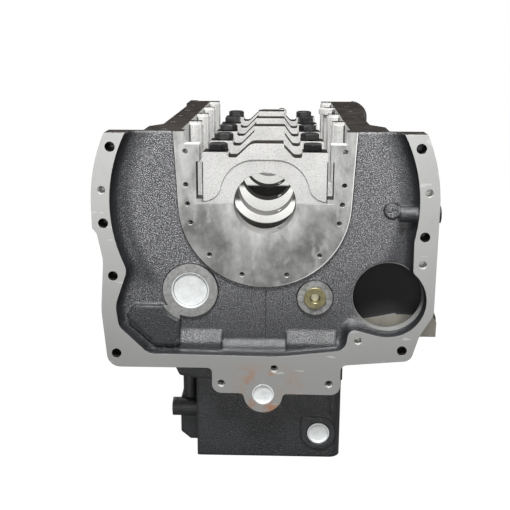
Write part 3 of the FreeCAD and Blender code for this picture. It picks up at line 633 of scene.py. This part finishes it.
def settled(shape, name, centre, axis, sharp):
    """The mesh of a closed shape, its +Z turned to the axis, its faces smooth between sharp edges."""
    turn = Vector((0, 0, 1)).rotation_difference(axis).to_matrix().to_4x4()
    bmesh.ops.transform(shape, matrix=Matrix.Translation(centre) @ turn, verts=shape.verts)
    bmesh.ops.recalc_face_normals(shape, faces=shape.faces)
    for face in shape.faces:
        face.smooth = True
    mesh = bpy.data.meshes.new(name)
    shape.to_mesh(mesh)
    shape.free()
    mesh.set_sharp_from_angle(angle=sharp)
    return mesh


def turned(name, profile, centre, axis, segments):
    """A closed turned piece: profile holds (radius, depth) points, depth along the axis from its face."""
    shape = bmesh.new()
    rings = []
    for radius, depth in profile:
        points = [(0, 0, depth)] if radius < 1e-9 else ring_at(radius, depth, segments)
        rings.append([shape.verts.new(p) for p in points])
    for a, b in zip(rings, rings[1:]):
        for i in range(segments):
            j = (i + 1) % segments
            loop = [a[i % len(a)], a[j % len(a)], b[j % len(b)], b[i % len(b)]]
            shape.faces.new(list(dict.fromkeys(loop)))
    return settled(shape, name, centre, axis, TURNED_SHARP)


def hexagon_radius(across, angle):
    """Distance from the middle of a hexagon to its side, in the direction of an angle."""
    return across / 2 / math.cos((angle % (math.pi / 3)) - math.pi / 6)


def closed(rings, name, centre=Vector(), axis=Vector((0, 0, 1))):
    """A closed mesh through rings of equal counts, capped at both ends, its +Z turned to the axis."""
    shape = bmesh.new()
    loops = [[shape.verts.new(p) for p in ring] for ring in rings]
    count = len(loops[0])
    for a, b in zip(loops, loops[1:]):
        for i in range(count):
            j = (i + 1) % count
            shape.faces.new([a[i], a[j], b[j], b[i]])
    shape.faces.new(loops[0])
    shape.faces.new(loops[-1])
    return settled(shape, name, centre, axis, CLOSED_SHARP)


def ring_at(radius, depth, segments):
    """Points of a ring; radius is a number or a function of the angle, and so is depth."""
    points = []
    for i in range(segments):
        a = 2 * math.pi * i / segments
        r = radius(a) if callable(radius) else radius
        z = depth(a) if callable(depth) else depth
        points.append((r * math.cos(a), r * math.sin(a), z))
    return points


def hexagon_bolt(name, across, height, shank_r, shank_length, chamfer, segments):
    """A bolt with a washer face and a chamfered hexagon head, which points to +Z from a seat at zero."""
    disc_r = across * 0.475
    disc_h = height * 0.07
    top_r = across / 2 * 0.93
    slope = math.tan(math.radians(30))

    def side(a):
        return hexagon_radius(across, a)

    def shoulder(a):
        return height - (side(a) - top_r) * slope

    rings = [
        ring_at(shank_r, -shank_length, segments),
        ring_at(shank_r, 0.0, segments),
        ring_at(disc_r, 0.0, segments),
        ring_at(disc_r, disc_h, segments),
        ring_at(lambda a: side(a) - chamfer * 0.3, disc_h, segments),
        ring_at(side, disc_h + chamfer * 0.3, segments),
        ring_at(side, shoulder, segments),
        ring_at(top_r, height, segments),
    ]
    return closed(rings, name)


def spread_on_points(name, source, places, material):
    """Geometry Nodes that put a copy of the source on each place, as one plain mesh."""
    cloud = bpy.data.meshes.new(name + "_places")
    cloud.from_pydata([tuple(p) for p in places], [], [])
    holder = bpy.data.objects.new(name, cloud)
    bpy.context.scene.collection.objects.link(holder)
    tree = bpy.data.node_groups.new(name + "_tree", "GeometryNodeTree")
    tree.interface.new_socket("Geometry", in_out="INPUT", socket_type="NodeSocketGeometry")
    scale = tree.interface.new_socket("Size", in_out="INPUT", socket_type="NodeSocketFloat")
    scale.default_value = 1.0
    twist = tree.interface.new_socket("Twist", in_out="INPUT", socket_type="NodeSocketFloat")
    twist.default_value = 0.0
    tree.interface.new_socket("Geometry", in_out="OUTPUT", socket_type="NodeSocketGeometry")
    enter = tree.nodes.new("NodeGroupInput")
    leave = tree.nodes.new("NodeGroupOutput")
    seat = tree.nodes.new("GeometryNodeInstanceOnPoints")
    item = tree.nodes.new("GeometryNodeObjectInfo")
    item.inputs["Object"].default_value = source
    chance = tree.nodes.new("FunctionNodeRandomValue")
    chance.data_type = "FLOAT"
    chance.inputs["Seed"].default_value = 7
    turn = tree.nodes.new("ShaderNodeCombineXYZ")
    spin = tree.nodes.new("ShaderNodeMath")
    spin.operation = "MULTIPLY"
    real = tree.nodes.new("GeometryNodeRealizeInstances")
    paint = tree.nodes.new("GeometryNodeSetMaterial")
    paint.inputs["Material"].default_value = material
    link = tree.links.new
    link(enter.outputs["Geometry"], seat.inputs["Points"])
    link(item.outputs["Geometry"], seat.inputs["Instance"])
    link(enter.outputs["Size"], seat.inputs["Scale"])
    link(chance.outputs[1], spin.inputs[0])
    link(enter.outputs["Twist"], spin.inputs[1])
    link(spin.outputs[0], turn.inputs["Z"])
    link(turn.outputs[0], seat.inputs["Rotation"])
    link(seat.outputs["Instances"], real.inputs[0])
    link(real.outputs[0], paint.inputs["Geometry"])
    link(paint.outputs[0], leave.inputs[0])
    modifier = holder.modifiers.new("spread", "NODES")
    modifier.node_group = tree
    modifier[twist.identifier] = math.radians(60)
    bpy.context.view_layer.update()
    ready = holder.evaluated_get(bpy.context.evaluated_depsgraph_get())
    mesh = bpy.data.meshes.new_from_object(ready)
    mesh.name = name
    holder.modifiers.clear()
    bpy.data.objects.remove(holder)
    bpy.data.objects.remove(source)
    return mesh


# The casting's regions

CAST_PAINT, CAST_CUT, CAST_SEAL, CAST_RAW, CAST_SUMP, CAST_BORE, CAST_PAD, CAST_THREAD, CAST_HOLE = range(9)
PLANE_SLACK = 0.00008
INNER_LEFT_X = -0.1322
INNER_RIGHT_X = 0.1122
INNER_LOW_Z = -0.1562
NOTCH_X = 0.1073
REAR_SLOT_Y = 0.0271
RECESS_DEPTH = 0.014
PAD_Y = 0.056
CYLINDER_TOP_Z = -0.111
CYLINDER_SLACK = 0.0004
MOUNT_PAD_X = 0.1340
MOUNT_PAD_FROM_Y = 0.19
MOUNT_PAD_TO_Y = 0.34
SKIRT_X = 0.09


def faces_rear(normal):
    return normal.y < -0.99


def across(point, centre):
    """Distance from an axis along Y."""
    return math.hypot(point.x - centre.x, point.z - centre.z)


def inside_crankcase(point, normal):
    """True on the inner walls, which no paint reached."""
    within = INNER_LEFT_X < point.x < INNER_RIGHT_X and point.z > INNER_LOW_Z
    if abs(point.x) > SKIRT_X:
        within = within and normal.x * math.copysign(1.0, point.x) < 0.2
    return within and REAR_SLOT_Y - 0.0015 < point.y < FRONT_Y - RECESS_DEPTH - PLANE_SLACK


def in_cylinder(point):
    """True on the wall of a cylinder."""
    from_walls = (math.hypot(point.x - c.x, point.y - c.y) - CYLINDER_R for c in CYLINDERS)
    return any(abs(distance) < CYLINDER_SLACK for distance in from_walls)


def casting_finish(point, normal):
    """The finish of one face of the casting, by where it lies and looks."""
    on_rear_plane = faces_rear(normal) and abs(point.y - FLANGE_Y) < PLANE_SLACK
    if on_rear_plane or point.y > FRONT_Y - PLANE_SLACK or point.z < DECK_Z + PLANE_SLACK:
        return CAST_CUT
    if point.z > SUMP_Z - PLANE_SLACK:
        return CAST_SUMP
    if faces_rear(normal) and abs(point.y) < PLANE_SLACK:
        on_cam_boss = across(point, CAM) < CAM_BOSS_R + BOSS_SLACK
        on_gallery_boss = across(point, GALLERY) < GALLERY_BOSS_R + BOSS_SLACK
        return CAST_CUT if on_cam_boss or on_gallery_boss else CAST_SEAL
    if faces_rear(normal) and abs(point.y - PAD_Y) < PLANE_SLACK:
        return CAST_PAD
    if abs(normal.y) < 0.3 and across(point, STARTER) < STARTER_R + PLANE_SLACK:
        return CAST_CUT
    if abs(normal.y) < 0.3 and across(point, Vector()) < CRANK_R + PLANE_SLACK:
        return CAST_BORE
    if point.z < CYLINDER_TOP_Z and abs(normal.z) < 0.2 and in_cylinder(point):
        return CAST_BORE
    on_pad_plane = abs(normal.x) > 0.99 and abs(abs(point.x) - MOUNT_PAD_X) < PLANE_SLACK
    if on_pad_plane and MOUNT_PAD_FROM_Y < point.y < MOUNT_PAD_TO_Y:
        return CAST_CUT
    if normal.y > 0.99 and point.y > FRONT_Y - RECESS_DEPTH - PLANE_SLACK:
        return CAST_PAINT
    if inside_crankcase(point, normal):
        return CAST_RAW
    if abs(point.x) < NOTCH_X and point.z > -0.0005 and point.y < REAR_SLOT_Y:
        return CAST_RAW
    return CAST_PAINT


# Operators


class BLOCK_OT_casting(bpy.types.Operator):
    """Make the block casting with its painted, cut and raw regions"""

    bl_idname = "block.casting"
    bl_label = "Casting"

    def execute(self, context):
        finishes = [painted_iron(), machined_iron(), seal_iron(), raw_iron(), sump_iron()]
        finishes += [bored_iron(), starter_pad_iron()]
        finishes.append(hole_wall("threaded_hole_iron", (0.55, 0.55, 0.53), (0.80, 0.80, 0.78), 0.2))
        # Painted shade: dark brownish walls for the large bolt holes
        finishes.append(hole_wall("shaded_hole_iron", (0.012, 0.010, 0.009), (0.045, 0.036, 0.030), 0.2))
        holes = ((THREAD_R, CAST_THREAD), (SEAL_HOLE_R, CAST_THREAD), (BOLT_HOLE_R, CAST_HOLE))
        smooth_copy("cylinder_block", "block_casting", "block_iron", finishes, casting_finish, holes=holes)
        return {"FINISHED"}


class BLOCK_OT_caps(bpy.types.Operator):
    """Make the main bearing caps"""

    bl_idname = "block.caps"
    bl_label = "Bearing caps"

    def execute(self, context):
        finishes = [bpy.data.materials[name] for name in ("raw_cast_iron", "bored_iron", "sump_rail_iron")]

        def rule(point, normal):
            if abs(normal.y) < 0.3 and across(point, Vector()) < CRANK_R + PLANE_SLACK:
                return 1
            return 2 if abs(normal.y) < 0.5 and normal.z > 0.2 else 0

        for node in CAPS:
            smooth_copy(node, node.replace("main", "bearing"), "cap_iron", finishes, rule)
        return {"FINISHED"}


class BLOCK_OT_bolts(bpy.types.Operator):
    """Make the cap bolts with washer faces and chamfered heads"""

    bl_idname = "block.bolts"
    bl_label = "Cap bolts"

    def execute(self, context):
        look = context.scene.fastener_finish
        low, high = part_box("main_cap_bolts")
        corner = BOLT_ACROSS / math.sqrt(3)
        seat_z = high.z - BOLT_HEAD
        xs = (low.x + corner, high.x - corner)
        places = []
        for node in CAPS:
            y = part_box(node)[1].y - BOLT_FROM_CAP_FRONT
            places += [Vector((x, y, seat_z)) for x in xs]
        shank = seat_z - low.z
        mesh = hexagon_bolt(
            "bolt_source", BOLT_ACROSS, BOLT_HEAD, BOLT_SHANK_R, shank, look.head_chamfer, look.segments
        )
        source = bpy.data.objects.new("bolt_source", mesh)
        context.scene.collection.objects.link(source)
        made = spread_on_points("cap_bolts", source, places, black_oxide())
        finished(made, "cap_bolts", "black_bolt", "main_cap_bolts")
        return {"FINISHED"}


class BLOCK_OT_cup_plugs(bpy.types.Operator):
    """Make the pressed cup plugs with their rounded dishes"""

    bl_idname = "block.cup_plugs"
    bl_label = "Cup plugs"

    wall = 0.0020
    dish = 0.0030
    lip = 0.0004
    side_plugs = 4

    def profile(self, radius, depth, bend):
        """The (radius, depth) points of a cup plug, from the middle of its dish to that of its back."""
        wall, dish, lip = self.wall, self.dish, self.lip
        steps = 6
        points = [(0.0, dish)]
        for i in range(steps + 1):
            a = math.pi / 2 * i / steps
            points.append((radius - wall - bend + bend * math.sin(a), dish - bend + bend * math.cos(a)))
        points += [(radius - wall, lip), (radius - wall + lip, 0.0), (radius - lip, 0.0), (radius, lip)]
        points += [(radius, depth - lip), (radius - lip, depth), (0.0, depth)]
        return points

    def execute(self, context):
        look = context.scene.fastener_finish
        zinc = zinc_steel()
        for node in ("cam_bore_plug", "flange_cup_plug", "rear_cup_plug"):
            low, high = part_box(node)
            centre = Vector(((low.x + high.x) / 2, low.y, (low.z + high.z) / 2))
            radius = (high.x - low.x) / 2
            points = self.profile(radius, high.y - low.y, look.cup_round)
            mesh = turned(node + "_dressed", points, centre, Vector((0, 1, 0)), look.segments)
            mesh.materials.append(zinc)
            finished(mesh, node + "_dressed", "plug_zinc", node)
        low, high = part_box("side_cup_plugs")
        radius = (high.z - low.z) / 2
        points = self.profile(radius, high.x - low.x, look.cup_round)
        centre = Vector((high.x, 0.0, (low.z + high.z) / 2))
        first, last = low.y + radius, high.y - radius
        shape = bmesh.new()
        for i in range(self.side_plugs):
            centre.y = first + (last - first) * i / (self.side_plugs - 1)
            shape.from_mesh(turned("side_plug", points, centre, Vector((-1, 0, 0)), look.segments))
        mesh = bpy.data.meshes.new("side_cup_plugs_dressed")
        shape.to_mesh(mesh)
        shape.free()
        mesh.materials.append(zinc)
        mesh.set_sharp_from_angle(angle=TURNED_SHARP)
        finished(mesh, "side_cup_plugs_dressed", "plug_zinc", "side_cup_plugs")
        return {"FINISHED"}


class BLOCK_OT_gallery_plugs(bpy.types.Operator):
    """Make the socket plugs at both ends of the oil gallery"""

    bl_idname = "block.gallery_plugs"
    bl_label = "Gallery plugs"

    def execute(self, context):
        olive = olive_steel()
        socket = 0.013
        depth = 0.008
        chamfer = 0.0008
        head = 0.003
        thread_step = 0.0018
        mouth_r = socket * 0.57
        segments = context.scene.fastener_finish.segments

        def flat(a):
            return hexagon_radius(socket, a)

        for node, outwards in (("gallery_plug_rear", -1), ("gallery_plug_front", 1)):
            low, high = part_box(node)
            axis = Vector((0, outwards, 0))
            radius = (high.x - low.x) / 2
            face_y = low.y if outwards < 0 else high.y
            length = high.y - low.y
            thread_r = radius - thread_step
            rings = [
                ring_at(flat, -depth, segments),
                ring_at(flat, -chamfer, segments),
                ring_at(lambda a: max(flat(a), mouth_r), 0.0, segments),
                ring_at(radius - chamfer, 0.0, segments),
                ring_at(radius, -chamfer, segments),
                ring_at(radius, -head, segments),
                ring_at(thread_r, -head, segments),
                ring_at(thread_r, -length, segments),
            ]
            centre = Vector(((low.x + high.x) / 2, face_y, (low.z + high.z) / 2))
            mesh = closed(rings, node + "_dressed", centre, axis)
            mesh.materials.append(olive)
            finished(mesh, node + "_dressed", "plug_olive", node)
        return {"FINISHED"}


class BLOCK_OT_small_parts(bpy.types.Operator):
    """Give the bushes and the two small plugs their finishes"""

    bl_idname = "block.small_parts"
    bl_label = "Bushes and small plugs"

    def execute(self, context):
        bearing = bearing_metal()
        dark = bpy.data.materials["black_oxide_steel"]
        for node in BUSHES:
            smooth_copy(node, node + "_dressed", "bush_bronze", [bearing], lambda point, normal: 0)
        for node in ("port_plug", "drain_plug"):
            smooth_copy(node, node + "_dressed", "plug_dark", [dark], lambda point, normal: 0)
        return {"FINISHED"}


class BLOCK_OT_stage(bpy.types.Operator):
    """Set the floor, lights and camera"""

    bl_idname = "block.stage"
    bl_label = "Stage"

    floor_half = 6.0
    floor_tone = (0.16, 0.16, 0.16, 1)
    floor_share = 0.85
    floor_glow = 1.17
    camera_place = (0.0198, -1.0972, 0.2197)
    camera_turn = (14.81, 1.70, 0.20)
    # Name, place, target, width and height, and share of the key light's power
    lights = (
        ("top_light", (0.0, -0.2, 1.7), (0, 0.15, 0), (0.9, 0.6), 0.35),
        ("front_light", (0.0, -1.15, 1.6), (0, 0, -0.1), (0.6, 0.4), 1.0),
        ("low_light", (0.0, -2.3, 0.45), (0, 0, -0.1), (0.7, 0.5), 0.28),
        ("left_light", (-1.5, 1.5, 0.9), (0, 0.25, -0.1), (0.8, 0.8), 0.4),
        ("right_light", (1.5, 1.5, 0.9), (0, 0.25, -0.1), (0.8, 0.8), 0.4),
    )

    def world(self, context, strength):
        """A white background that lights the block weakly."""
        world = bpy.data.worlds.new("studio")
        context.scene.world = world
        world.use_nodes = True
        nodes, links = world.node_tree.nodes, world.node_tree.links
        path = nodes.new("ShaderNodeLightPath")
        level = nodes.new("ShaderNodeMix")
        level.data_type = "FLOAT"
        links.new(path.outputs["Is Camera Ray"], level.inputs[0])
        level.inputs[2].default_value = strength
        level.inputs[3].default_value = 1.0
        back = nodes["Background"]
        back.inputs["Color"].default_value = (1, 1, 1, 1)
        links.new(level.outputs[0], back.inputs["Strength"])

    def floor(self, context):
        """A floor that is near white for the camera and dark for reflections."""
        half, z = self.floor_half, DECK_Z
        corners = [(-half, -half, z), (half, -half, z), (half, half, z), (-half, half, z)]
        mesh = bpy.data.meshes.new("floor")
        mesh.from_pydata(corners, [], [(0, 1, 2, 3)])
        floor = bpy.data.objects.new("floor", mesh)
        context.scene.collection.objects.link(floor)
        material = bpy.data.materials.new("pale_floor")
        material.use_nodes = True
        nodes, links = material.node_tree.nodes, material.node_tree.links
        nodes.remove(nodes["Principled BSDF"])
        plain = nodes.new("ShaderNodeBsdfDiffuse")
        plain.inputs["Color"].default_value = self.floor_tone
        glow = nodes.new("ShaderNodeEmission")
        path = nodes.new("ShaderNodeLightPath")
        share = nodes.new("ShaderNodeMath")
        share.operation = "MULTIPLY"
        share.inputs[1].default_value = self.floor_share
        links.new(path.outputs["Is Camera Ray"], share.inputs[0])
        blend = nodes.new("ShaderNodeMixShader")
        links.new(share.outputs[0], blend.inputs[0])
        links.new(plain.outputs[0], blend.inputs[1])
        links.new(glow.outputs[0], blend.inputs[2])
        glow.inputs["Strength"].default_value = self.floor_glow
        links.new(blend.outputs[0], nodes["Material Output"].inputs[0])
        mesh.materials.append(material)

    def light(self, context, name, place, target, size, power):
        data = bpy.data.lights.new(name, "AREA")
        data.shape = "RECTANGLE"
        data.size, data.size_y = size
        data.energy = power
        lamp = bpy.data.objects.new(name, data)
        context.scene.collection.objects.link(lamp)
        lamp.location = place
        lamp.rotation_euler = (Vector(target) - Vector(place)).to_track_quat("-Z", "Y").to_euler()

    def camera(self, context, lens):
        data = bpy.data.cameras.new("camera")
        data.lens = lens
        data.sensor_width = 36.0
        data.clip_start, data.clip_end = 0.05, 50.0
        camera = bpy.data.objects.new("camera", data)
        context.scene.collection.objects.link(camera)
        pitch, yaw, roll = (math.radians(v) for v in self.camera_turn)
        ahead = Vector((-math.sin(yaw) * math.cos(pitch), math.cos(yaw) * math.cos(pitch), -math.sin(pitch)))
        right = Vector((math.cos(yaw), math.sin(yaw), 0.0))
        up = right.cross(ahead)
        rolled = math.cos(roll) * right + math.sin(roll) * up
        upright = math.cos(roll) * up - math.sin(roll) * right
        turn = Matrix((rolled, upright, -ahead)).transposed()
        camera.matrix_world = Matrix.Translation(self.camera_place) @ turn.to_4x4()
        context.scene.camera = camera

    def execute(self, context):
        stage = context.scene.stage_settings
        self.world(context, stage.fill)
        self.floor(context)
        for name, place, target, size, share in self.lights:
            self.light(context, name, place, target, size, stage.key * share)
        self.camera(context, stage.lens)
        context.scene.view_settings.view_transform = "Standard"
        return {"FINISHED"}


class BLOCK_PT_panel(bpy.types.Panel):
    """The steps that dress the block, in the sidebar"""

    bl_idname = "BLOCK_PT_panel"
    bl_label = "Engine block"
    bl_space_type = "VIEW_3D"
    bl_region_type = "UI"
    bl_category = "Engine block"

    def draw(self, context):
        scene = context.scene
        for group in (scene.cast_finish, scene.fastener_finish, scene.stage_settings):
            box = self.layout.box()
            for name in group.__class__.__annotations__:
                box.prop(group, name)
        for step in STEPS:
            self.layout.operator(step.bl_idname)


STEPS = (
    BLOCK_OT_casting,
    BLOCK_OT_caps,
    BLOCK_OT_bolts,
    BLOCK_OT_cup_plugs,
    BLOCK_OT_gallery_plugs,
    BLOCK_OT_small_parts,
    BLOCK_OT_stage,
)
GROUPS = (CastFinish, FastenerFinish, StageSettings)


def register():
    for cls in (*GROUPS, *STEPS, BLOCK_PT_panel):
        bpy.utils.register_class(cls)
    bpy.types.Scene.cast_finish = PointerProperty(type=CastFinish)
    bpy.types.Scene.fastener_finish = PointerProperty(type=FastenerFinish)
    bpy.types.Scene.stage_settings = PointerProperty(type=StageSettings)


def unregister():
    del bpy.types.Scene.stage_settings
    del bpy.types.Scene.fastener_finish
    del bpy.types.Scene.cast_finish
    for cls in reversed((*GROUPS, *STEPS, BLOCK_PT_panel)):
        bpy.utils.unregister_class(cls)


def main():
    register()
    bpy.ops.block.stage()
    bpy.ops.block.casting()
    bpy.ops.block.caps()
    bpy.ops.block.bolts()
    bpy.ops.block.cup_plugs()
    bpy.ops.block.gallery_plugs()
    bpy.ops.block.small_parts()


if __name__ == "__main__":
    main()
